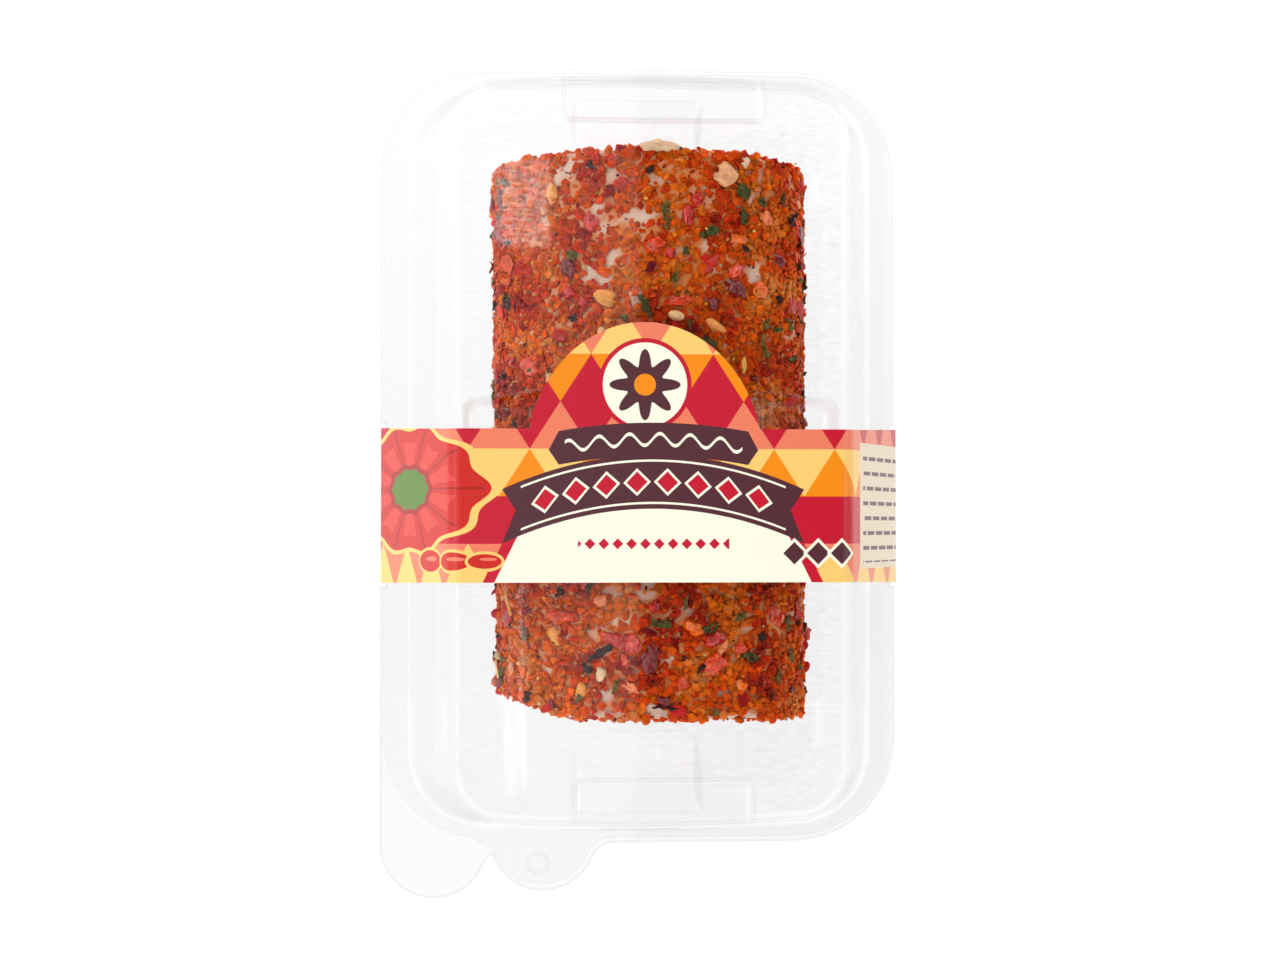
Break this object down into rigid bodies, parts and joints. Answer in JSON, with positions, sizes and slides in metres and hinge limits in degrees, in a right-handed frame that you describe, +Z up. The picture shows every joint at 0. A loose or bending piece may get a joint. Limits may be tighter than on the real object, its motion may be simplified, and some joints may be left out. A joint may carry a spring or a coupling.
{
  "type": "pepper-coated cheese roll in a clear pack",
  "caption": "Roll of fresh cheese in a coating of dried pepper, in a shut clear pack with a domed lid, pull tabs and a printed sleeve.",
  "frame": {"origin": "under the middle of the pack's rim, on the flat face that the sleeve and the tray rest on", "axes": "+Z up, +Y along the roll and away from the pull tabs, +X across the roll"},
  "size_m": [0.076, 0.1218, 0.0395],
  "materials": {
    "clear_sheet": "clear thermoformed sheet, glossy",
    "printed_card": "printed in warm colours, satin varnish",
    "pepper_coating": "moist dried pepper and chilli, part glossy",
    "fresh_cheese": "moist white fresh cheese",
    "dried_herb": "dry crumbled leaf"
  },
  "bodies": {
    "root": {"tray": "clear_sheet", "lid": "clear_sheet", "sleeve": "printed_card", "cheese_roll": "pepper_coating"}
  },
  "joints": []
}
